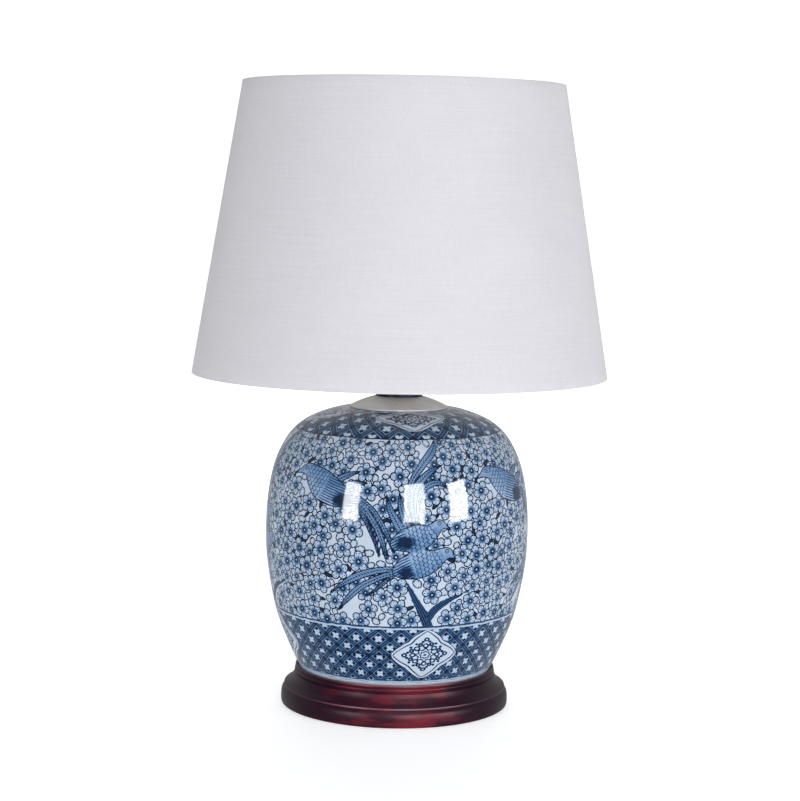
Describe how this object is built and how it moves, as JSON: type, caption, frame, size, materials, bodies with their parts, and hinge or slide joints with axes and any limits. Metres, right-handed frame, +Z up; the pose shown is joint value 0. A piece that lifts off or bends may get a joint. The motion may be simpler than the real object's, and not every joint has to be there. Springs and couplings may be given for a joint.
{
  "type": "table lamp",
  "caption": "Table lamp: painted porcelain ginger-jar body on a turned wooden base, turn-knob socket, harp and tapered fabric shade with a finial.",
  "frame": {"origin": "centre of the underside of the felt pad, where the lamp stands", "axes": "+Z up along the lamp's axis, front towards -Y with the switch knob, the flex inlet towards +Y"},
  "size_m": [0.35, 0.35, 0.5248],
  "materials": {
    "felt": "matt green felt",
    "mahogany": "dark red mahogany under gloss lacquer",
    "rubber": "matt black rubber",
    "zinc_steel": "zinc plated",
    "brass": "satin",
    "porcelain": "white porcelain painted in cobalt blue under a clear gloss glaze",
    "satin_nickel": "satin nickel plate",
    "dark_bronze": "dark satin lacquer",
    "phenolic": "moulded black phenolic",
    "insulating_card": "brown insulating card",
    "black_glass": "opaque black glass",
    "frosted_glass": "white frosted glass",
    "clear_glass": "clear glass",
    "shade_linen": "fine off-white linen-look cloth",
    "shade_styrene": "white translucent styrene sheet",
    "coated_wire": "white powder coat"
  },
  "bodies": {
    "stand": {"felt_pad": "felt", "wooden_base": "mahogany", "inlet_bush": "rubber", "base_washer": "zinc_steel", "base_lock_washer": "zinc_steel", "base_nut": "brass", "lamp_rod": "zinc_steel", "porcelain_jar": "porcelain", "mouth_plug": "rubber", "vase_cap": "satin_nickel", "neck_ring": "dark_bronze", "harp_saddle": "satin_nickel", "harp_wire": "satin_nickel", "socket_cap": "brass", "socket_set_screw": "zinc_steel", "socket_body": "phenolic", "terminal_screw_left": "brass", "terminal_screw_right": "zinc_steel", "socket_liner": "insulating_card", "socket_shell": "brass", "screw_shell": "brass", "centre_contact": "brass"},
    "shade": {"harp_swivel": "satin_nickel", "shade_cover": "shade_linen", "shade_liner": "shade_styrene", "shade_low_tape": "shade_linen", "shade_high_tape": "shade_linen", "shade_low_ring": "coated_wire", "shade_high_ring": "coated_wire", "shade_spoke_1": "coated_wire", "shade_spoke_2": "coated_wire", "shade_spoke_3": "coated_wire", "shade_fitter": "coated_wire"},
    "finial_lifter": {"finial_insert": "brass"},
    "finial": {"finial_knob": "satin_nickel"},
    "switch": {"switch_shaft": "brass", "switch_knob": "brass"},
    "bulb_lifter": {"bulb_contact": "zinc_steel"},
    "bulb": {"bulb_insulator": "black_glass", "bulb_screw_cap": "zinc_steel", "bulb_glass": "frosted_glass", "bulb_stem": "clear_glass"},
    "harp_sleeve_left": {"harp_sleeve_left": "satin_nickel"},
    "harp_sleeve_right": {"harp_sleeve_right": "satin_nickel"}
  },
  "joints": [
    {"name": "shade_turn", "type": "hinge", "parent": "stand", "child": "shade", "pos_m": [0, 0, 0.496], "axis": [0, 0, 1], "continuous": true},
    {"name": "finial_lift", "type": "slide", "parent": "shade", "child": "finial_lifter", "axis": [0, 0, 1], "range_m": [0, 0.00753]},
    {"name": "finial_turn", "type": "hinge", "parent": "finial_lifter", "child": "finial", "pos_m": [0, 0, 0.51], "axis": [0, 0, 1], "range_deg": [0, 2880]},
    {"name": "switch_turn", "type": "hinge", "parent": "stand", "child": "switch", "pos_m": [0, -0.022, 0.303], "axis": [0, -1, 0], "continuous": true},
    {"name": "bulb_lift", "type": "slide", "parent": "stand", "child": "bulb_lifter", "axis": [0, 0, 1], "range_m": [0, 0.01814]},
    {"name": "bulb_turn", "type": "hinge", "parent": "bulb_lifter", "child": "bulb", "pos_m": [0, 0, 0.33], "axis": [0, 0, 1], "range_deg": [0, 1800]},
    {"name": "sleeve_left_lift", "type": "slide", "parent": "stand", "child": "harp_sleeve_left", "axis": [0, 0, 1], "range_m": [0, 0.0125]},
    {"name": "sleeve_right_lift", "type": "slide", "parent": "stand", "child": "harp_sleeve_right", "axis": [0, 0, 1], "range_m": [0, 0.0125]}
  ],
  "couplings": [
    {"joint": "finial_lift", "follows": "finial_turn", "m_per_rad": 0.00014973},
    {"joint": "bulb_lift", "follows": "bulb_turn", "m_per_rad": 0.0005775}
  ]
}
